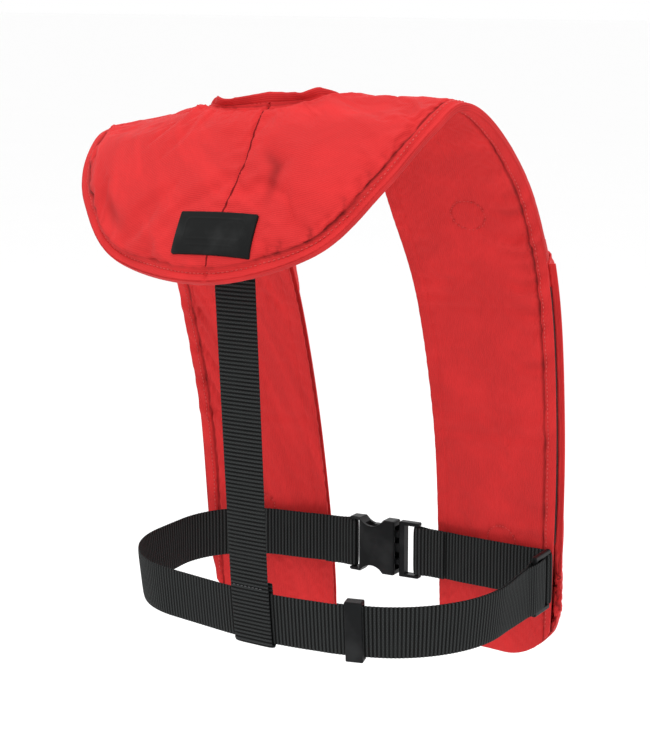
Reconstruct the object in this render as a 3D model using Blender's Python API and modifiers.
"""Inflatable life jacket, horseshoe type, as separate pieces.

The wearer faces -Y, the wearer's left is +X and up is +Z. The origin is the seat on
the wearer's shoulders: the middle of the neck opening, at the height of the shoulders.
A station v runs from 0 at a lobe's lower end, over the shoulder, to 1 at the centre of
the back. A share u runs from 0 at the neck edge of the cloth to 1 at its outer edge.
"""

import math

import bmesh
import bpy
import numpy as np
from mathutils import Matrix, Vector

MM = 0.001
LEFT, RIGHT = 1, -1

# ---- Overall sizes -------------------------------------------------------------------
BELT_DROP = 350 * MM        # shoulder seat to the middle of the waist belt
LOBE_BELOW_BELT = 68 * MM   # how far the lobes hang below the middle of the belt
NECK_HALF = 52 * MM         # half of the gap between the two lobes
LOBE_WIDTH = 107 * MM       # a lobe, from its neck edge to its outer edge
CHEST_DEPTH = 156 * MM      # shoulder seat forward to the lobes at the belt
FLAP_REACH = 102 * MM       # shoulder seat back to the flap's lower edge
FLAP_DROP = 103 * MM        # shoulder seat down to the flap's lower edge
NECK_BACK = 22 * MM         # shoulder seat back to the neck edge
NECK_RISE = 11 * MM         # height of the neck edge over the seat
CORNER_RADIUS = 45 * MM     # outer lower corner of each lobe
SHOULDER_LEAN = 0.10        # the left shoulder hangs lower: drop for each unit of X
FLAP_SPREAD = 0.10          # the flap spreads wider on the left, and less on the right

# ---- Cloth layers, measured outwards from the inner panel's outer face -----------------
PANEL_WALL = 1.6 * MM
COVER_WALL = 2.0 * MM
HEM_WIDTH = 11 * MM
PANEL_INSET = 4 * MM        # the inner panel stops short of the covers' outer edge
LAYER_GAP = 0.6 * MM
BLADDER_BASE = 2.0 * MM
COVER_BASE = 2.6 * MM
YOKE_PUFF = 12 * MM
LEFT_PACK = 7 * MM          # folded bladder in the left lobe
RIGHT_PACK = 2.5 * MM       # folded bladder under the inflator
CHEST_SEAM = 0.335          # station where the yoke cover meets the front covers
SEAM_GAP = 0.006            # in stations
HINGE_REACH = (0.03, 0.30)  # stations between which a front cover folds open
TAPE_WIDTH, TAPE_WALL = 8 * MM, 1.0 * MM
DISC_RADIUS, DISC_WALL = 13 * MM, 1.0 * MM

# ---- Webbing ---------------------------------------------------------------------------
WEB_WIDTH = 38 * MM
WEB_WALL = 1.5 * MM
BACK_WEB_WIDTH = 33 * MM
FIT_GAP = 0.4 * MM
BELT_LEAN = math.radians(6)   # the belt's upper edge leans outwards
BELT_FRONT_RISE = 5 * MM      # the belt is this much higher at the buckle
BELT_FRONT_Y = -144.5 * MM
BELT_BACK_Y = 48 * MM
BELT_RIGHT_X = -(NECK_HALF + LOBE_WIDTH - 6 * MM)    # just inside the lobe's outer edge
BELT_LEFT_X = NECK_HALF + LOBE_WIDTH - 16 * MM
BELT_SPAN = BELT_LEFT_X - BELT_RIGHT_X
BELT_BACK_RADIUS = 0.885 * BELT_SPAN     # the back's flat arc and the sides' round ones
BELT_SIDE_RADII = (0.203 * BELT_SPAN, 0.27 * BELT_SPAN, 0.287 * BELT_SPAN)
SEWN_LENGTH = 25 * MM

# ---- Hardware --------------------------------------------------------------------------
BUCKLE_LENGTH, BUCKLE_DEPTH = 40 * MM, 13 * MM
BUCKLE_HEIGHT = WEB_WIDTH + 6 * MM
BUCKLE_MOUTH_X = -17 * MM
BUCKLE_WALL = 2.4 * MM
BAR_RADIUS = 2 * MM
PLUG_REAR_LENGTH, PLUG_BASE = 17 * MM, 5 * MM
MOUTH_GAP = 3 * MM
PRONG_LENGTH = 27 * MM
KEEPER_LENGTH, KEEPER_WALL = 13 * MM, 1.8 * MM
GLIDE_LENGTH, GLIDE_Y = 28 * MM, -113 * MM
BADGE_WIDTH, BADGE_HEIGHT, BADGE_WALL = 64 * MM, 32 * MM, 2.2 * MM

# ---- Inflator, in its own frame: X to the neck edge, Y away from the body, Z up ---------
INFLATOR_V, INFLATOR_U = 0.112, 0.43
BODY_WIDTH, BODY_HEIGHT, BODY_DEPTH = 40 * MM, 42 * MM, 18 * MM
LOBE_REACH = 0.15           # stations that the rigid pieces in a lobe lie along
CYLINDER_RADIUS, CYLINDER_LENGTH = 12.5 * MM, 118 * MM
CYLINDER_NECK_RADIUS, CYLINDER_NECK_LENGTH = 6.2 * MM, 12 * MM
CYLINDER_X = -6 * MM
PIN_RADIUS, PIN_LENGTH = 2 * MM, 19.4 * MM
STEM_RADIUS, STEM_X = 5 * MM, 12 * MM
FLANGE_RADIUS, FLANGE_WALL = 19 * MM, 2.4 * MM
FRAME_RISE = 2.6 * MM       # clearance of straight pieces over the curved pack
NUT_RADIUS, NUT_WALL = 8 * MM, 3.2 * MM
NUT_STAND_OFF = 1 * MM
CYLINDER_REST = 3.6 * MM    # clearance of the cylinder over the pack, which bows along it
LOBE_ROOM = 2.5 * MM        # room between the inflator's nut and the cover
LEVER_LENGTH, LEVER_WALL, LEVER_HEIGHT = 36 * MM, 3.4 * MM, 6 * MM
LEVER_PIN_RADIUS = 1.2 * MM
CORD_RADIUS = 1.1 * MM
TAB_WIDTH, TAB_HEIGHT, TAB_WALL = 16 * MM, 20 * MM, 3 * MM
RUN_GAP = 0.3 * MM
# Inflator body's back face over the inner panel, and the cover's depth over the inflator
BODY_BASE = BLADDER_BASE + RIGHT_PACK + CYLINDER_REST + CYLINDER_RADIUS - BODY_DEPTH / 2
LOBE_PUFF = BODY_BASE + BODY_DEPTH + NUT_STAND_OFF + RUN_GAP + NUT_WALL + LOBE_ROOM - COVER_BASE

# ---- Oral tube, in a frame of the same kind on the left lobe -----------------------------
TUBE_V, TUBE_U = 0.165, 0.50
TUBE_RADIUS, TUBE_LENGTH = 5.5 * MM, 78 * MM
VALVE_RADIUS, VALVE_LENGTH = 8 * MM, 16 * MM
POPPET_RADIUS, POPPET_TRAVEL = 2.4 * MM, 3 * MM
CAP_WALL, CAP_LENGTH = 1.6 * MM, 11 * MM
WHISTLE_LENGTH, WHISTLE_RADIUS = 42 * MM, 6 * MM

WHISTLE_V = 0.075
UPPER_DISC, LOWER_DISC = (0.51, 0.387), (0.535, 0.123)   # (u, v) of the discs in each lobe
BADGE_U = 0.755
KEEPER_X = -80 * MM
PRONG_Z = 11 * MM
SOCKET_BAR_X = BUCKLE_MOUTH_X + BUCKLE_LENGTH - BAR_RADIUS
PLUG_BAR_X = BUCKLE_MOUTH_X - MOUTH_GAP - PLUG_REAR_LENGTH + BAR_RADIUS

SHARES = (0.0, 0.06, 0.16, 0.32, 0.5, 0.68, 0.84, 0.94, 1.0)


# ======================================================================================
# Materials and objects
# ======================================================================================
def new_material(name, colour, roughness, metallic=0.0):
    material = bpy.data.materials.new(name)
    material.use_nodes = True
    shader = material.node_tree.nodes["Principled BSDF"]
    shader.inputs["Base Color"].default_value = (*colour, 1.0)
    shader.inputs["Roughness"].default_value = roughness
    shader.inputs["Metallic"].default_value = metallic
    material.diffuse_color = (*colour, 1.0)
    return material


def clear_scene():
    for item in list(bpy.data.objects):
        bpy.data.objects.remove(item, do_unlink=True)


def new_collection(name, hidden=False):
    collection = bpy.data.collections.new(name)
    bpy.context.scene.collection.children.link(collection)
    collection.hide_render = hidden
    return collection


def add_mesh(name, mesh, material=None, frame=Matrix(), smooth=True):
    """Link a mesh as an object of the jacket, or as a hidden cutter if it has no material."""
    item = bpy.data.objects.new(name, mesh)
    (PARTS if material else CUTTERS).objects.link(item)
    item.matrix_world = frame
    if material:
        mesh.materials.append(material)
        if smooth:
            mesh.shade_smooth()
            mesh.set_sharp_from_angle(angle=math.radians(40))
    else:
        item.hide_render = True
        item.display_type = "WIRE"
    return item


def mesh_of(name, shape):
    """Make a mesh from a function that fills a bmesh, with its faces turned outwards."""
    shell = bmesh.new()
    shape(shell)
    bmesh.ops.recalc_face_normals(shell, faces=shell.faces)
    if shell.calc_volume(signed=True) < 0:
        bmesh.ops.reverse_faces(shell, faces=shell.faces)
    mesh = bpy.data.meshes.new(name)
    shell.to_mesh(mesh)
    shell.free()
    return mesh


def block(name, size, centre, material=None, frame=Matrix(), bevel=0.0):
    """A box of this size round this centre, with an optional bevel on its edges."""
    def shape(shell):
        bmesh.ops.create_cube(shell, size=1.0)
        bmesh.ops.scale(shell, vec=size, verts=shell.verts)
        bmesh.ops.translate(shell, vec=centre, verts=shell.verts)
    item = add_mesh(name, mesh_of(name, shape), material, frame)
    if bevel:
        edge = item.modifiers.new("rounded_edges", "BEVEL")
        edge.width = bevel
        edge.segments = 2
    return item


AXIS_TURN = {
    "X": Matrix.Rotation(math.radians(90), 4, "Y"),
    "Y": Matrix.Rotation(math.radians(-90), 4, "X"),
    "Z": Matrix(),
}


def rod(name, radius, start, length, axis="Z", material=None, frame=Matrix(), sides=24):
    """A round rod of this length along the axis, from the point start."""
    def shape(shell):
        bmesh.ops.create_cone(
            shell, cap_ends=True, segments=sides, depth=length, radius1=radius, radius2=radius,
            matrix=Matrix.Translation(start) @ AXIS_TURN[axis]
            @ Matrix.Translation((0, 0, length / 2)),
        )
    return add_mesh(name, mesh_of(name, shape), material, frame)


def turned(name, profile, material=None, frame=Matrix(), sides=24):
    """A turned shape: the (radius, height) profile runs down its outer side."""
    mesh = bpy.data.meshes.new(name)
    points = [(radius, 0, height) for radius, height in profile]
    edges = [(i, i + 1) for i in range(len(points) - 1)]
    if profile[0] == profile[-1]:
        points.pop()
        edges[-1] = (len(points) - 1, 0)
    mesh.from_pydata(points, edges, [])
    item = add_mesh(name, mesh, material, frame, smooth=False)
    screw = item.modifiers.new("turned", "SCREW")
    screw.steps = screw.render_steps = sides
    screw.use_merge_vertices = True
    screw.merge_threshold = 0.00005
    screw.use_smooth_shade = True
    return item


def combine(item, tools, operation="DIFFERENCE"):
    """Cut tools from the item, or join them to it. Each tool has no material of its own."""
    for tool in tools:
        step = item.modifiers.new(tool.name, "BOOLEAN")
        step.object = tool
        step.operation = operation
        step.solver = "EXACT"
    return item


# ======================================================================================
# The cloth surface
# ======================================================================================
def cloth_stations():
    """(neck edge, outer edge) points of the left half, from the lobe's end to the back."""
    n, w, drop, front = NECK_HALF, LOBE_WIDTH, BELT_DROP, -CHEST_DEPTH
    end = -drop - LOBE_BELOW_BELT
    reach, back = FLAP_REACH, NECK_BACK
    return np.array([
        ((n - 4 * MM, front - 6 * MM, end), (n + w - 8 * MM, front + 11 * MM, end)),
        ((n - 3 * MM, front, -drop), (n + w - 3 * MM, front + 17 * MM, -drop)),
        ((n, front * 0.885, -drop * 0.69), (n + w + 1 * MM, front * 0.84, -drop * 0.69)),
        ((n, front * 0.68, -drop * 0.40), (n + w + 4 * MM, front * 0.70, -drop * 0.41)),
        ((n - 2 * MM, front * 0.42, -drop * 0.20), (n + w + 1 * MM, front * 0.51, -drop * 0.21)),
        ((n + 1 * MM, front * 0.18, -22 * MM), (n + w - 6 * MM, front * 0.27, -27 * MM)),
        ((n + 4 * MM, 2 * MM, NECK_RISE - 4 * MM), (n + w - 11 * MM, -4 * MM, -3 * MM)),
        ((n - 8 * MM, back * 0.77, NECK_RISE + 1 * MM),
         (n + w - 20 * MM, reach * 0.24, -FLAP_DROP * 0.175)),
        ((n - 24 * MM, back * 0.95, NECK_RISE), (n + w - 39 * MM, reach * 0.54, -FLAP_DROP * 0.485)),
        ((n - 39 * MM, back, NECK_RISE), (n + w - 80 * MM, reach * 0.82, -FLAP_DROP * 0.855)),
        ((0.0, back, NECK_RISE), (0.0, reach, -FLAP_DROP)),
    ])


def smooth_curve(points, share):
    """Catmull-Rom curve through the points; share 0 to 1 runs from the first to the last.
    Past the last point the curve goes on into its own mirror image in X."""
    before = 2 * points[0] - points[1]
    after = points[-2] * np.array([-1, 1, 1])
    all_points = np.vstack([before, points, after])
    place = np.clip(np.asarray(share, float), 0, 1 - 1e-9) * (len(points) - 1)
    i = place.astype(int)
    f = (place - i)[..., None]
    a, b, c, d = (all_points[i + k] for k in range(4))
    return 0.5 * (2 * b + (c - a) * f + (2 * a - 5 * b + 4 * c - d) * f**2
                  + (3 * b - a - 3 * c + d) * f**3)


def ease(x):
    x = np.clip(x, 0.0, 1.0)
    return x * x * (3 - 2 * x)


def hang(points):
    """How the jacket hangs: one shoulder lower, and the flap spread wider on the left."""
    points = np.array(points, float)
    x, y, z = points[..., 0], points[..., 1], points[..., 2]
    lean = ease((z + BELT_DROP) / (0.85 * BELT_DROP))
    spread = ease((y + 0.5 * FLAP_REACH) / FLAP_REACH) * lean
    moved = points.copy()
    moved[..., 2] = z - SHOULDER_LEAN * x * lean
    moved[..., 0] = x + FLAP_SPREAD * np.abs(x) * spread
    return moved


def plain_cloth(u, v, side):
    stations = cloth_stations()
    neck = smooth_curve(stations[:, 0], v)
    outer = smooth_curve(stations[:, 1], v)
    return (neck + (outer - neck) * np.asarray(u)[..., None]) * np.array([side, 1, 1])


def cloth(u, v, side, height=0.0):
    """Points of the cloth at share u and station v, this height outside the inner panel."""
    u, v = np.broadcast_arrays(np.asarray(u, float), np.asarray(v, float))
    step = 1e-3
    here = plain_cloth(u, v, side)
    across = plain_cloth(u + step, v, side) - here
    along = plain_cloth(u, np.minimum(v + step, 1), side) - plain_cloth(u, np.maximum(v - step, 0), side)
    normal = side * np.cross(across, along)
    normal /= np.linalg.norm(normal, axis=-1)[..., None]
    at_centre = (v > 1 - 1e-6)[..., None]
    normal = np.where(at_centre, normal * np.array([0, 1, 1]), normal)
    normal /= np.linalg.norm(normal, axis=-1)[..., None]
    return hang(here + normal * np.asarray(height)[..., None])


def rounded_end(u, v, low):
    """Lift the lowest stations at the outer corner so that the lobe ends in a round one."""
    past = (u * LOBE_WIDTH - (LOBE_WIDTH - CORNER_RADIUS)) / CORNER_RADIUS
    lift = CORNER_RADIUS * (1 - np.sqrt(1 - np.clip(past, 0, 1) ** 2))
    stretch = 0.1 / LOBE_BELOW_BELT
    return v + lift * stretch * np.clip(1 - (v - low) / 0.15, 0, 1)


def pack_depth(v):
    """Thickness of the packed jacket at station v: full on the lobes, thin on the yoke."""
    body = LOBE_PUFF + (YOKE_PUFF - LOBE_PUFF) * ease((v - 0.26) / 0.3)
    end = np.clip(v / 0.05, 0, 1)
    return body * (1 - (1 - end) ** 2.6) ** (1 / 2.6)


def dome(u, v):
    """The packed jacket's outline over the cloth: flat hems, steep sides, a full middle."""
    hem = 0.5 * HEM_WIDTH / LOBE_WIDTH
    across = np.clip(np.abs(2 * (u - hem) / (1 - 2 * hem) - 1), 0, 1)
    return pack_depth(v) * (1 - across**2.8) ** (1 / 2.8)


def sheet_solid(name, material, places, shares, low, high, shrink=0.0):
    """A closed layer of cloth. places lists signed stations (side * v) in order round the
    jacket; low and high give the heights of its two faces from (u, v, side)."""
    count_u, count_v = len(shares) - 1, len(places) - 1

    def shape(shell):
        bmesh.ops.create_grid(shell, x_segments=count_u, y_segments=count_v, size=1.0)
        grown = bmesh.ops.extrude_face_region(shell, geom=list(shell.faces))
        risen = [v for v in grown["geom"] if isinstance(v, bmesh.types.BMVert)]
        bmesh.ops.translate(shell, vec=(0, 0, 1), verts=risen)
        grid = np.array([v.co for v in shell.verts])
        u = np.asarray(shares)[np.rint((grid[:, 0] + 1) / 2 * count_u).astype(int)]
        u = u * (1 - shrink)
        place = np.asarray(places)[np.rint((grid[:, 1] + 1) / 2 * count_v).astype(int)]
        v, side = np.abs(place), np.where(np.signbit(place), RIGHT, LEFT)
        ended = rounded_end(u, v, min(abs(places[0]), abs(places[-1])))
        height = np.where(grid[:, 2] > 0.5, high(u, v, side), low(u, v, side))
        for one in (LEFT, RIGHT):
            here = side == one
            if not here.any():
                continue
            points = cloth(u[here], ended[here], one, height[here])
            for vert, point in zip(np.array(shell.verts)[here], points):
                vert.co = point
    return add_mesh(name, mesh_of(name, shape), material)


def level(height):
    return lambda u, v, side: np.full(np.shape(u), height)


def cloth_frame(u, v, side, height, reach=0.02):
    """A frame on the cloth: Y away from the body, Z up along the lobe over this reach of
    stations, and X towards the wearer's right."""
    here = Vector(cloth(u, v, side, height))
    up = (Vector(cloth(u, v + reach, side, height)) - here).normalized()
    away = Vector(cloth(u, v, side, height + 10 * MM)) - here
    across = away.cross(up).normalized()
    turn = Matrix((across, up.cross(across), up)).transposed()
    return Matrix.Translation(here) @ turn.to_4x4()


# ======================================================================================
# Webbing
# ======================================================================================
def strap_solid(name, material, path, wide, width):
    """Webbing along the path's points. wide is the direction across it at each point."""
    path, wide = np.asarray(path), np.asarray(wide)
    along = np.gradient(path, axis=0)
    face = np.cross(along, wide)
    face /= np.linalg.norm(face, axis=1)[:, None]
    count = len(path) - 1

    def shape(shell):
        bmesh.ops.create_grid(shell, x_segments=count, y_segments=1, size=1.0)
        grown = bmesh.ops.extrude_face_region(shell, geom=list(shell.faces))
        risen = [v for v in grown["geom"] if isinstance(v, bmesh.types.BMVert)]
        bmesh.ops.translate(shell, vec=(0, 0, 1), verts=risen)
        for vert in shell.verts:
            i = round((vert.co.x + 1) / 2 * count)
            across = wide[i] * vert.co.y * width / 2
            vert.co = path[i] + across + face[i] * (vert.co.z - 0.5) * WEB_WALL
    return add_mesh(name, mesh_of(name, shape), material)


def rounded_corner(before, corner, after, radius):
    """Centre of the arc that rounds a corner in plan, and the angles where it starts and ends."""
    back = (before - corner) / np.linalg.norm(before - corner)
    ahead = (after - corner) / np.linalg.norm(after - corner)
    half = 0.5 * math.acos(float(np.clip(back @ ahead, -1, 1)))
    middle = (back + ahead) / np.linalg.norm(back + ahead)
    centre = corner + middle * radius / math.sin(half)
    start = corner + back * radius / math.tan(half) - centre
    end = corner + ahead * radius / math.tan(half) - centre
    first = math.atan2(start[1], start[0])
    turn = (math.atan2(end[1], end[0]) - first + math.pi) % (2 * math.pi) - math.pi
    return centre, first, turn


def belt_corners():
    """Corners and radii of the belt in plan, from the socket's bar round to the plug's."""
    middle_x = 0.5 * (BELT_LEFT_X + BELT_RIGHT_X)
    return [
        ((SOCKET_BAR_X, BELT_FRONT_Y), 0),
        ((BELT_LEFT_X, BELT_FRONT_Y + 9 * MM), BELT_SIDE_RADII[0]),
        ((BELT_LEFT_X + 2 * MM, BELT_BACK_Y - 33 * MM), BELT_SIDE_RADII[1]),
        ((middle_x - 20 * MM, BELT_BACK_Y + 7 * MM), BELT_BACK_RADIUS),
        ((BELT_RIGHT_X - 2 * MM, BELT_BACK_Y - 20 * MM), BELT_SIDE_RADII[2]),
        ((BELT_RIGHT_X, BELT_FRONT_Y + 12 * MM), 9 * MM),
        ((PLUG_BAR_X, BELT_FRONT_Y), 0),
    ]


def belt_plan():
    """Points of the belt's middle line in plan, every few millimetres."""
    corners = [(np.array(place), radius) for place, radius in belt_corners()]
    points = [corners[0][0]]
    for (before, _), (corner, radius), (after, _) in zip(corners, corners[1:], corners[2:]):
        centre, first, turn = rounded_corner(before, corner, after, radius)
        angles = first + turn * np.linspace(0, 1, 33)
        points.extend(centre + radius * np.stack([np.cos(angles), np.sin(angles)], axis=1))
    points.append(corners[-1][0])
    return np.array(points)


def belt_back_centre():
    corners = [np.array(place) for place, _ in belt_corners()]
    return rounded_corner(corners[2], corners[3], corners[4], BELT_BACK_RADIUS)[0]


class Belt:
    """The waist belt's middle line, read by the length s from the socket's bar."""

    def __init__(self):
        self.plan = belt_plan()
        steps = np.linalg.norm(np.diff(self.plan, axis=0), axis=1)
        self.lengths = np.concatenate([[0], np.cumsum(steps)])
        self.length = self.lengths[-1]

    def point(self, s):
        return np.stack([np.interp(s, self.lengths, self.plan[:, k]) for k in (0, 1)], axis=-1)

    def outwards(self, s):
        along = self.point(np.minimum(s + 1.5 * MM, self.length))
        along = along - self.point(np.maximum(s - 1.5 * MM, 0))
        along /= np.linalg.norm(along, axis=-1)[..., None]
        return np.stack([along[..., 1], -along[..., 0]], axis=-1)

    def find(self, wanted):
        """The length s at which a test of the plan point is least."""
        s = np.linspace(0, self.length, 4001)
        return s[np.argmin(wanted(self.point(s)))]

    def height(self, y):
        share = (BELT_BACK_Y - y) / (BELT_BACK_Y - BELT_FRONT_Y)
        return -BELT_DROP + BELT_FRONT_RISE * share

    def lean(self, y):
        return BELT_LEAN * ease((y + 95 * MM) / (55 * MM))

    def place(self, plan):
        """Plan points lifted to the belt's height, as points in space."""
        return np.concatenate([plan, self.height(plan[..., 1])[..., None]], axis=-1)

    def wide(self, plan, outwards):
        lean = self.lean(plan[..., 1])[..., None]
        up = np.cos(lean)
        return np.concatenate([outwards * np.sin(lean), up], axis=-1)


def loop_gap():
    return BAR_RADIUS + RUN_GAP + WEB_WALL / 2


def route(s, offset, ahead=0.0):
    """Rows of (length along the belt, offset outwards, offset ahead) for webbing."""
    return np.stack(np.broadcast_arrays(s, offset, ahead), axis=1)


def turn_round(s, start_side, ahead):
    """The half turn of webbing round a bar at length s, from one side of it to the other."""
    angles = np.linspace(0, math.pi, 9)
    return route(s, loop_gap() * start_side * np.cos(angles), loop_gap() * ahead * np.sin(angles))


def spread_near_bar(s, bar, sewn, hold=0.0):
    """Half of the gap between two layers: wide at the bar and as far as hold, then closed."""
    return sewn + (loop_gap() - sewn) * (1 - ease((np.abs(s - bar) - hold) / (12 * MM)))


def build_strip(name, material, belt, rows):
    s, offset, ahead = np.concatenate(rows).T
    out = belt.outwards(s)
    along = np.stack([-out[:, 1], out[:, 0]], axis=1)
    plan = belt.point(s) + out * offset[:, None] + along * ahead[:, None]
    strap_solid(name, material, belt.place(plan), belt.wide(plan, out), WEB_WIDTH)


def build_belt(material):
    """The long belt, sewn round the socket's bar, with its tail doubled back through the
    slide to the keeper, and the short webbing from the slide to the plug."""
    belt = Belt()
    sewn = WEB_WALL / 2 + FIT_GAP / 2
    glide_s = belt.find(lambda p: np.abs(p[:, 0] - BELT_RIGHT_X) + np.abs(p[:, 1] - GLIDE_Y))
    keeper_s = belt.find(lambda p: np.abs(p[:, 0] - KEEPER_X) + (p[:, 1] < 0))
    tail_s = keeper_s - KEEPER_LENGTH

    fold = np.linspace(SEWN_LENGTH, 0, 6)
    main = np.concatenate([fold[::-1], np.linspace(SEWN_LENGTH, glide_s, 72)[1:]])
    tail = np.linspace(glide_s, tail_s, 22)
    near_socket = spread_near_bar(main, 0, sewn) * (1 - ease((main - SEWN_LENGTH - 3 * MM) / (20 * MM)))
    hold = GLIDE_LENGTH / 2 + 2 * MM
    near_glide = spread_near_bar(main, glide_s, sewn, hold) * ease((main - tail_s + 20 * MM) / (18 * MM))
    build_strip("waist_belt", material, belt, [
        route(fold[:-1], -spread_near_bar(fold[:-1], 0, sewn)),
        turn_round(0.0, -1, -1),
        route(main[1:-1], (near_socket + near_glide)[1:-1]),
        turn_round(glide_s, 1, 1),
        route(tail[1:], -spread_near_bar(tail[1:], glide_s, sewn, hold)),
    ])

    front, end = glide_s + GLIDE_LENGTH / 2 - BAR_RADIUS, belt.length
    first_fold = np.linspace(front + 16 * MM, front, 6)[:-1]
    middle = np.linspace(front, end, 30)[1:-1]
    last_fold = np.linspace(end, end - SEWN_LENGTH, 6)[1:]
    from_glide = 1 - ease((middle - front - 18 * MM) / (12 * MM))
    to_plug = ease((middle - end + SEWN_LENGTH + 14 * MM) / (12 * MM))
    opened = spread_near_bar(middle, front, sewn) * from_glide
    closed = spread_near_bar(middle, end, sewn) * to_plug
    build_strip("front_belt_right", material, belt, [
        route(first_fold, -spread_near_bar(first_fold, front, sewn)),
        turn_round(front, -1, -1),
        route(middle, opened + closed),
        turn_round(end, 1, 1),
        route(last_fold, -spread_near_bar(last_fold, end, sewn)),
    ])
    return belt, glide_s, keeper_s


def build_back_strap(material, belt):
    """Webbing sewn under the flap that runs down the back and loops round the belt."""
    under = cloth(np.array([0.50, 0.58, 0.65]), 1.0, LEFT, -PANEL_WALL - 2 * WEB_WALL - LAYER_GAP)
    back_s = belt.find(lambda p: np.abs(p[:, 0]) - p[:, 1])
    plan_out = belt.outwards(back_s)
    ring = belt.place(belt.point(back_s))
    lean = belt.lean(ring[1])
    up = np.array([*plan_out * math.sin(lean), math.cos(lean)])
    out = np.array([*plan_out * math.cos(lean), -math.sin(lean)])
    gap = WEB_WALL + 3 * FIT_GAP
    top, bottom = WEB_WIDTH / 2 + 7 * MM, WEB_WIDTH / 2 + FIT_GAP
    angles = np.linspace(0, math.pi, 9)[:, None]
    outer_leg = ring + out * gap + up * np.linspace(top, -bottom, 4)[:, None]
    inner_leg = ring - out * gap + up * np.linspace(-bottom, top, 4)[:, None]
    turn = ring - up * bottom + gap * (out * np.cos(angles) - up * np.sin(angles))
    bend = under[-1] + np.array([0, 1.5 * MM, -14 * MM])
    fall = bend + (outer_leg[0] - bend) * np.linspace(0, 1, 12)[:-1, None]
    path = np.concatenate([under, fall, outer_leg, turn[1:-1], inner_leg])
    twist = np.clip((under[-1][2] - path[:, 2]) / BELT_DROP * 1.3, 0, 1)[:, None]
    across = (1 - twist) * np.array([1.0, 0, 0]) + twist * np.array([plan_out[1], -plan_out[0], 0])
    strap_solid("back_strap", material, path, across, BACK_WEB_WIDTH)


def build_neck_binding(material):
    """The folded binding that stands up along the neck edge."""
    v = np.linspace(0.56, 1.0, 14)
    halves = []
    for side in (RIGHT, LEFT):
        low = cloth(-0.028, v, side, 1.0 * MM)
        high = cloth(-0.028, v, side, 9.0 * MM)
        halves.append(((low + high) / 2, high - low))
    path = np.concatenate([halves[0][0], halves[1][0][-2::-1]])
    across = np.concatenate([halves[0][1], halves[1][1][-2::-1]])
    across /= np.linalg.norm(across, axis=1)[:, None]
    strap_solid("neck_binding", material, path, across, 8 * MM)


# ======================================================================================
# Belt hardware
# ======================================================================================
def web_opening():
    return WEB_WIDTH + 4 * FIT_GAP


def upright_bar(name, x, height, frame):
    return rod(name, BAR_RADIUS, (x, 0, -height / 2 + 1 * MM), height - 2 * MM, frame=frame)


def build_socket(material, frame):
    """Buckle socket: X towards the wearer's left, the mouth at its -X end."""
    length, height, depth = BUCKLE_LENGTH, BUCKLE_HEIGHT, BUCKLE_DEPTH
    slot = 9.5 * MM
    hollow = length - slot - 4 * MM
    item = block("buckle_socket", (length, depth, height), (length / 2, 0, 0), material, frame, 1.5 * MM)
    tools = [
        block("socket_hollow", (2 * hollow, depth - 2 * BUCKLE_WALL, height - 8 * MM), (0, 0, 0), frame=frame),
        block("socket_slot", (2 * slot, 4 * depth, web_opening()), (length, 0, 0), frame=frame),
    ]
    for sign in (1, -1):
        waist = (20 * MM, -2 * depth, sign * (height / 2 + 6 * MM))
        tools.append(rod(f"socket_waist_{sign}", 12 * MM, waist, 4 * depth, "Y", frame=frame, sides=40))
        rear = (length + 2 * MM, sign * (depth / 2 + 2 * MM), 0)
        tools.append(block(f"socket_rear_{sign}", (2 * slot, 8 * MM, 2 * height), rear, frame=frame))
    combine(item, tools)
    return combine(item, [upright_bar("socket_bar", length - BAR_RADIUS, height, frame)], "UNION")


def build_plug(material, frame):
    """Buckle plug: X towards the wearer's left, its origin on its webbing bar."""
    height, rear, tongue = BUCKLE_HEIGHT + 1 * MM, PLUG_REAR_LENGTH, PRONG_LENGTH + 2 * MM
    item = block("buckle_plug", (rear, 7 * MM, height), (rear / 2 - BAR_RADIUS, 0, 0), material, frame, 1 * MM)
    slot = rear - BAR_RADIUS - PLUG_BASE
    combine(item, [block("plug_slot", (2 * slot, 20 * MM, web_opening()), (0, 0, 0), frame=frame)])
    guide = block("plug_guide", (tongue, 5 * MM, 6 * MM),
                  (rear - BAR_RADIUS - 2 * MM + tongue / 2, 0, 0), frame=frame)
    return combine(item, [upright_bar("plug_bar", 0, height, frame), guide], "UNION")


def build_prong(name, sign, material, frame):
    """One of the two springy prongs, as a flat outline; its origin is where it flexes."""
    outline = [(0.3, -2), (0.3, 2), (8, 2.4), (15, 6.4), (22, 6.4), (27, 3.6), (27, 1.6), (20, 0), (9, -1.4)]
    curve = bpy.data.curves.new(name, "CURVE")
    curve.dimensions = "2D"
    curve.fill_mode = "BOTH"
    curve.extrude = 2.8 * MM
    line = curve.splines.new("POLY")
    line.points.add(len(outline) - 1)
    line.use_cyclic_u = True
    for point, (x, y) in zip(line.points, outline):
        point.co = (x * MM, sign * y * MM, 0, 1)
    item = bpy.data.objects.new(name, curve)
    PARTS.objects.link(item)
    curve.materials.append(material)
    item.matrix_world = frame @ Matrix.Rotation(math.radians(90), 4, "X")
    return item


def upright_frame(place, out, lean=0.0):
    """A frame on the belt: X along it, Y inwards or outwards, Z up and leaning with it."""
    out = Vector((*out, 0)).normalized()
    up = (Vector((0, 0, 1)) * math.cos(lean) + out * math.sin(lean)).normalized()
    along = out.cross(up).normalized()
    turn = Matrix((along, up.cross(along), up)).transposed().to_4x4()
    return Matrix.Translation(place) @ turn


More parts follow.
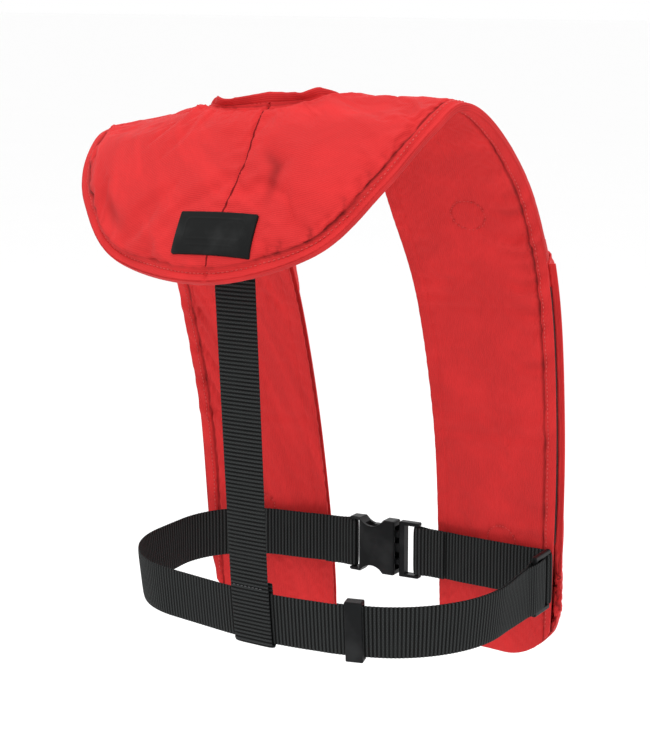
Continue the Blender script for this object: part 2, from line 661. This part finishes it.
def build_keeper(material, belt, keeper_s):
    """A moulded ring that slides along the belt, under an empty on the axis of its arc."""
    plan = belt.point(keeper_s)
    place = Vector((*plan, belt.height(plan[1])))
    pivot = bpy.data.objects.new("keeper_arc", None)
    PARTS.objects.link(pivot)
    pivot.location = (*belt_back_centre(), place.z)
    frame = upright_frame(place, belt.outwards(keeper_s), belt.lean(plan[1]))
    depth = 2 * (WEB_WALL + FIT_GAP) + 1.8 * MM
    height = WEB_WIDTH + 1.8 * MM
    size = (KEEPER_LENGTH, depth + 2 * KEEPER_WALL, height + 3 * KEEPER_WALL)
    item = block("strap_keeper", size, (0, 0, 0), material, frame, 1 * MM)
    combine(item, [block("keeper_slot", (4 * KEEPER_LENGTH, depth, height), (0, 0, 0), frame=frame)])
    item.parent = pivot
    item.matrix_parent_inverse = Matrix.Translation(-pivot.location)


def build_glide(material, belt, glide_s):
    """Three-bar slide: the belt turns round its middle bar, the front webbing round its
    front bar."""
    plan = belt.point(glide_s)
    place = Vector((*plan, belt.height(plan[1])))
    frame = upright_frame(place, belt.outwards(glide_s), belt.lean(plan[1]))
    height = WEB_WIDTH + 8 * MM
    item = block("tri_glide", (GLIDE_LENGTH, 2 * BAR_RADIUS, height), (0, 0, 0), material, frame, 1 * MM)
    window = (2 * GLIDE_LENGTH, 20 * MM, web_opening())
    combine(item, [block("glide_window", window, (0, 0, 0), frame=frame)])
    reach = GLIDE_LENGTH / 2 - BAR_RADIUS
    bars = [upright_bar(f"glide_bar_{i}", x, height, frame) for i, x in enumerate((-reach, 0, reach))]
    combine(item, bars, "UNION")


def build_badge(material):
    """A blank rubber patch, bent to the flap, over the centre seam."""
    reach = np.linspace(0.90, 1.0, 200)
    x = plain_cloth(BADGE_U, reach, LEFT)[:, 0]
    v = np.interp(np.linspace(0, BADGE_WIDTH / 2, 5), x[::-1], reach[::-1])
    height = outer_face(BADGE_U, v) + BADGE_WALL
    left = cloth(BADGE_U, v, LEFT, height)
    right = cloth(BADGE_U, v, RIGHT, height)
    path = np.concatenate([left[::-1], right[1:]])
    slope = cloth(BADGE_U + 0.1, 1.0, LEFT, height[0]) - cloth(BADGE_U - 0.1, 1.0, LEFT, height[0])
    across = np.tile(slope / np.linalg.norm(slope), (len(path), 1))
    strap_solid("badge_patch", material, path, across, BADGE_HEIGHT)


# ======================================================================================
# Cloth pieces
# ======================================================================================
def cover_base(v):
    """Gap between the inner panel and the cover at their hems."""
    return COVER_BASE + (LAYER_GAP - COVER_BASE) * ease((v - 0.45) / 0.1)


def outer_face(u, v):
    return cover_base(v) + dome(u, v) + COVER_WALL


def hang_on_hinge(cover, name, side):
    """Parent a front cover to an empty whose Z runs up its sewn neck edge, where it folds."""
    low, high = (Vector(cloth(0.0, v, side, COVER_BASE)) for v in HINGE_REACH)
    pivot = bpy.data.objects.new(name, None)
    PARTS.objects.link(pivot)
    turn = Vector((0, 0, 1)).rotation_difference(high - low).to_matrix().to_4x4()
    pivot.matrix_world = Matrix.Translation((low + high) / 2) @ turn
    cover.parent = pivot
    cover.matrix_parent_inverse = pivot.matrix_world.inverted()


def build_cloth(red, liner, yellow, tape):
    lobe = np.array([0.0, 0.008, 0.022, 0.05, 0.10, 0.16, 0.215, 0.27, CHEST_SEAM - SEAM_GAP])
    yoke = np.linspace(CHEST_SEAM, 1.0, 17)
    whole = np.concatenate([-lobe, -yoke, yoke[-2::-1], lobe[::-1]])
    over = np.concatenate([-yoke, yoke[-2::-1]])
    inset = PANEL_INSET / LOBE_WIDTH

    sheet_solid("inner_panel", liner, whole, SHARES, level(-PANEL_WALL), level(0.0), inset)

    def under(u, v, side):
        return cover_base(v) + dome(u, v)

    def over_face(u, v, side):
        return outer_face(u, v)

    sheet_solid("yoke_cover", red, over, SHARES, under, over_face)
    right = sheet_solid("front_cover_right", red, -lobe, SHARES, under, over_face)
    hang_on_hinge(right, "hinge_right", RIGHT)
    left = sheet_solid("front_cover_left", red, lobe[::-1], SHARES, under, over_face)
    hang_on_hinge(left, "hinge_left", LEFT)

    def pack_top(u, v, side):
        room = cover_base(v) + dome(u, v) - LAYER_GAP
        pack = np.where(side == LEFT, LEFT_PACK, RIGHT_PACK)
        cap = BLADDER_BASE + pack + (YOKE_PUFF - pack) * ease((v - 0.30) / 0.12)
        return np.minimum(room, cap)

    folded = np.concatenate([-lobe[3:], -yoke, yoke[-2::-1], lobe[:2:-1]])
    sheet_solid("bladder", yellow, folded, SHARES[2:-2], level(BLADDER_BASE), pack_top)

    for name, side in (("left", LEFT), ("right", RIGHT)):
        edge = (1 - inset - TAPE_WIDTH / LOBE_WIDTH, 1 - inset)
        places = side * np.array([0.09, 0.13, 0.16, 0.215, 0.27, 0.31])
        places = places if side == RIGHT else places[::-1]
        sheet_solid(f"closure_tape_{name}", tape, places, edge, level(LAYER_GAP), level(LAYER_GAP + TAPE_WALL))
        for spot, (u, v) in (("upper", UPPER_DISC), ("lower", LOWER_DISC)):
            build_disc(f"retainer_disc_{spot}_{name}", tape, u, v, side)


def build_disc(name, material, u, v, side):
    """A thin disc behind the inner panel, bent with the cloth, that a round seam holds."""
    here, further = plain_cloth(u, v, side), plain_cloth(u, v + 0.01, side)
    per_station = 0.01 / np.linalg.norm(further - here)

    def shape(shell):
        bmesh.ops.create_cone(shell, cap_ends=True, cap_tris=True, segments=20,
                              depth=DISC_WALL, radius1=DISC_RADIUS, radius2=DISC_RADIUS)
        for vert in shell.verts:
            x, y, z = vert.co
            rise = LAYER_GAP + DISC_WALL / 2 + z
            vert.co = cloth(u + x / LOBE_WIDTH, v + y * per_station, side, rise)
    add_mesh(name, mesh_of(name, shape), material)


# ======================================================================================
# Inflator
# ======================================================================================
def build_inflator(black, steel, brass, green, cord, red_plastic):
    """The manual inflator in the right lobe: X towards the outer edge, Y out, Z up."""
    seat = cloth_frame(INFLATOR_U, INFLATOR_V, RIGHT, 0.0, LOBE_REACH)
    middle = BODY_BASE + BODY_DEPTH / 2
    half = BODY_HEIGHT / 2
    lever_z = -half + LEVER_HEIGHT / 2 + 2 * MM

    body = block("inflator_body", (BODY_WIDTH, BODY_DEPTH, BODY_HEIGHT), (0, middle, 0), black, seat, 2 * MM)
    bore_low = lever_z
    combine(body, [
        rod("neck_bore", CYLINDER_NECK_RADIUS + RUN_GAP,
            (CYLINDER_X, middle, half - CYLINDER_NECK_LENGTH - 1 * MM), 2 * CYLINDER_NECK_LENGTH, frame=seat),
        rod("pin_bore", PIN_RADIUS + RUN_GAP, (CYLINDER_X, middle, bore_low), BODY_HEIGHT / 2 + 4 * MM, frame=seat),
        rod("stem_bore", STEM_RADIUS + RUN_GAP, (STEM_X, 0, 0), 2 * BODY_BASE + 2 * BODY_DEPTH, "Y", frame=seat),
        block("lever_slot", (BODY_WIDTH, LEVER_WALL + 4 * RUN_GAP, 3 * LEVER_HEIGHT),
              (BODY_WIDTH / 2 + CYLINDER_X - 6 * MM, middle, lever_z - LEVER_HEIGHT + 3.5 * MM), frame=seat),
        rod("lever_pin_bore", LEVER_PIN_RADIUS + RUN_GAP, (CYLINDER_X, 0, lever_z),
            2 * BODY_BASE + 2 * BODY_DEPTH, "Y", frame=seat),
    ])
    rod("lever_pin", LEVER_PIN_RADIUS, (CYLINDER_X, BODY_BASE + 1 * MM, lever_z), BODY_DEPTH - 2 * MM, "Y",
        steel, seat, 12)

    pivot = seat @ Matrix.Translation((CYLINDER_X, middle, lever_z))
    lever = block("manual_lever", (LEVER_LENGTH, LEVER_WALL, LEVER_HEIGHT),
                  (LEVER_LENGTH / 2 - LEVER_HEIGHT / 2, 0, 0), red_plastic, pivot, 0.8 * MM)
    combine(lever, [rod("lever_eye", LEVER_PIN_RADIUS + RUN_GAP, (0, -20 * MM, 0), 40 * MM, "Y", frame=pivot, sides=12)])

    pin_low = lever_z + LEVER_HEIGHT / 2 + RUN_GAP
    rod("firing_pin", PIN_RADIUS, (0, 0, 0), PIN_LENGTH, "Z", steel,
        seat @ Matrix.Translation((CYLINDER_X, middle, pin_low)), 16)

    neck, r, length = CYLINDER_NECK_RADIUS, CYLINDER_RADIUS, CYLINDER_LENGTH
    start = half - CYLINDER_NECK_LENGTH + 1 * MM
    shoulder = CYLINDER_NECK_LENGTH + 1 * MM
    profile = [(0, length), (0.55 * r, length - 1.2 * MM), (0.87 * r, length - 5 * MM), (r, length - 11 * MM),
               (r, shoulder + 9 * MM), (0.85 * r, shoulder + 3 * MM), (neck + 1 * MM, shoulder),
               (neck, shoulder - 0.6 * MM), (neck, 0), (0, 0)]
    turned("co2_cylinder", profile, steel, seat @ Matrix.Translation((CYLINDER_X, middle, start)))

    flange_low = BLADDER_BASE + RIGHT_PACK + FRAME_RISE
    stem = rod("bladder_manifold", FLANGE_RADIUS, (0, 0, 0), FLANGE_WALL, "Y", brass,
               seat @ Matrix.Translation((STEM_X, flange_low, 0)), 32)
    front = BODY_BASE + BODY_DEPTH
    combine(stem, [rod("manifold_stem", STEM_RADIUS, (STEM_X, flange_low + FLANGE_WALL / 2, 0),
                       front + NUT_STAND_OFF - flange_low - FLANGE_WALL / 2, "Y", frame=seat)], "UNION")
    rod("manifold_nut", NUT_RADIUS, (0, 0, 0), NUT_WALL, "Y", brass,
        seat @ Matrix.Translation((STEM_X, front + NUT_STAND_OFF + RUN_GAP, 0)), 6)

    block("status_clip", (2.4 * MM, 9 * MM, 9 * MM),
          (BODY_WIDTH / 2 + 1.6 * MM, middle, lever_z + LEVER_HEIGHT / 2 + 4.8 * MM), green, seat, 0.6 * MM)

    tip_x = CYLINDER_X + LEVER_LENGTH - LEVER_HEIGHT / 2 - 3 * MM
    cord_top = lever_z - LEVER_HEIGHT / 2 - RUN_GAP
    rod("pull_cord", CORD_RADIUS, (0, 0, 0), 8 * MM, "Z", cord,
        seat @ Matrix.Translation((tip_x, middle, cord_top - 8 * MM)), 10)
    tab_top = cord_top - 8 * MM - RUN_GAP
    block("pull_tab", (TAB_WIDTH, TAB_WALL, TAB_HEIGHT), (0, 0, -TAB_HEIGHT / 2), red_plastic,
          seat @ Matrix.Translation((tip_x, middle, tab_top)), 1 * MM)


# ======================================================================================
# Oral tube and whistle
# ======================================================================================
def build_oral_tube(black, yellow, white):
    seat = cloth_frame(TUBE_U, TUBE_V, LEFT, 0.0, LOBE_REACH)
    middle = BLADDER_BASE + LEFT_PACK + 2 * FRAME_RISE + VALVE_RADIUS + CAP_WALL
    half = TUBE_LENGTH / 2
    tube = rod("oral_tube", TUBE_RADIUS, (0, middle, -half), TUBE_LENGTH, "Z", black, seat, 28)
    foot = BLADDER_BASE + LEFT_PACK + FRAME_RISE
    combine(tube, [
        rod("tube_neck", TUBE_RADIUS, (0, foot + 1 * MM, -half + TUBE_RADIUS), middle - foot, "Y", frame=seat),
        rod("tube_foot", 2.2 * TUBE_RADIUS, (0, foot, -half + TUBE_RADIUS), 2 * MM, "Y", frame=seat),
        rod("valve_head", VALVE_RADIUS, (0, middle, half - 1 * MM), VALVE_LENGTH, "Z", frame=seat),
    ], "UNION")
    combine(tube, [
        rod("valve_bore", POPPET_RADIUS + RUN_GAP, (0, middle, half - 20 * MM), 60 * MM, "Z", frame=seat),
        rod("valve_chamber", VALVE_RADIUS - 1.6 * MM, (0, middle, half + 3 * MM), 60 * MM, "Z", frame=seat),
    ])
    top = half - 1 * MM + VALVE_LENGTH
    poppet_frame = seat @ Matrix.Translation((0, middle, half + 3 * MM + POPPET_TRAVEL + 1 * MM))
    poppet = rod("valve_poppet", VALVE_RADIUS - 3 * MM, (0, 0, 0), 2 * MM, "Z", white, poppet_frame)
    combine(poppet, [
        rod("poppet_stem", POPPET_RADIUS, (0, 0, -16 * MM), 22 * MM, "Z", frame=poppet_frame)], "UNION")
    inner = VALVE_RADIUS + RUN_GAP
    outer = inner + CAP_WALL
    low, high = top - CAP_LENGTH + CAP_WALL + 1 * MM, top + CAP_WALL + 1 * MM
    profile = [(0, high), (outer - 1 * MM, high), (outer, high - 1 * MM), (outer, low), (inner, low),
               (inner, high - CAP_WALL), (0, high - CAP_WALL)]
    turned("dust_cap", [(r, z - low) for r, z in profile], yellow, seat @ Matrix.Translation((0, middle, low)))


def build_whistle(material):
    seat = cloth_frame(TUBE_U, WHISTLE_V, LEFT, 0.0, LOBE_REACH)
    middle = BLADDER_BASE + LEFT_PACK + FRAME_RISE + WHISTLE_RADIUS
    whistle = rod("whistle", WHISTLE_RADIUS, (0, middle, 0), WHISTLE_LENGTH, "Z", material, seat, 24)
    combine(whistle, [block("whistle_mouth", (14 * MM, 1.2 * WHISTLE_RADIUS, 10 * MM),
                            (0, middle, 0), frame=seat)], "UNION")
    combine(whistle, [
        block("whistle_window", (5 * MM, 12 * MM, 4 * MM), (0, middle + WHISTLE_RADIUS, 22 * MM), frame=seat),
        rod("whistle_bore", WHISTLE_RADIUS - 1.6 * MM, (0, middle, 12 * MM), WHISTLE_LENGTH, "Z", frame=seat),
    ])


# ======================================================================================
# The jacket
# ======================================================================================
def main():
    red = new_material("red_nylon", (0.62, 0.035, 0.035), 0.75)
    liner = new_material("red_liner", (0.55, 0.03, 0.035), 0.8)
    yellow = new_material("yellow_bladder", (0.85, 0.70, 0.05), 0.5)
    web = new_material("black_webbing", (0.02, 0.02, 0.02), 0.8)
    black = new_material("black_plastic", (0.02, 0.02, 0.02), 0.4)
    tape = new_material("hook_tape", (0.03, 0.03, 0.03), 0.95)
    rubber = new_material("badge_rubber", (0.03, 0.03, 0.032), 0.6)
    steel = new_material("cylinder_steel", (0.5, 0.5, 0.5), 0.3, 1.0)
    brass = new_material("manifold_brass", (0.6, 0.45, 0.2), 0.35, 1.0)
    green = new_material("green_clip", (0.02, 0.4, 0.08), 0.5)
    signal_red = new_material("pull_tab_red", (0.6, 0.02, 0.02), 0.45)
    cord = new_material("pull_cord", (0.05, 0.05, 0.05), 0.8)
    pale = new_material("valve_white", (0.8, 0.8, 0.8), 0.5)
    orange = new_material("whistle_orange", (0.85, 0.2, 0.02), 0.45)

    build_cloth(red, liner, yellow, tape)
    build_neck_binding(red)
    build_badge(rubber)
    belt, glide_s, keeper_s = build_belt(web)
    build_back_strap(web, belt)
    build_keeper(black, belt, keeper_s)
    build_glide(black, belt, glide_s)

    buckle_z = belt.height(BELT_FRONT_Y)
    build_socket(black, Matrix.Translation((BUCKLE_MOUTH_X, BELT_FRONT_Y, buckle_z)))
    build_plug(black, Matrix.Translation((PLUG_BAR_X, BELT_FRONT_Y, buckle_z)))
    root_x = PLUG_BAR_X + PLUG_REAR_LENGTH - BAR_RADIUS
    for name, sign in (("upper", 1), ("lower", -1)):
        place = Matrix.Translation((root_x, BELT_FRONT_Y, buckle_z + sign * PRONG_Z))
        build_prong(f"prong_{name}", sign, black, place)

    build_inflator(black, steel, brass, green, cord, signal_red)
    build_oral_tube(black, yellow, pale)
    build_whistle(orange)


clear_scene()
PARTS = new_collection("inflatable_life_jacket")
CUTTERS = new_collection("cutters", hidden=True)
main()
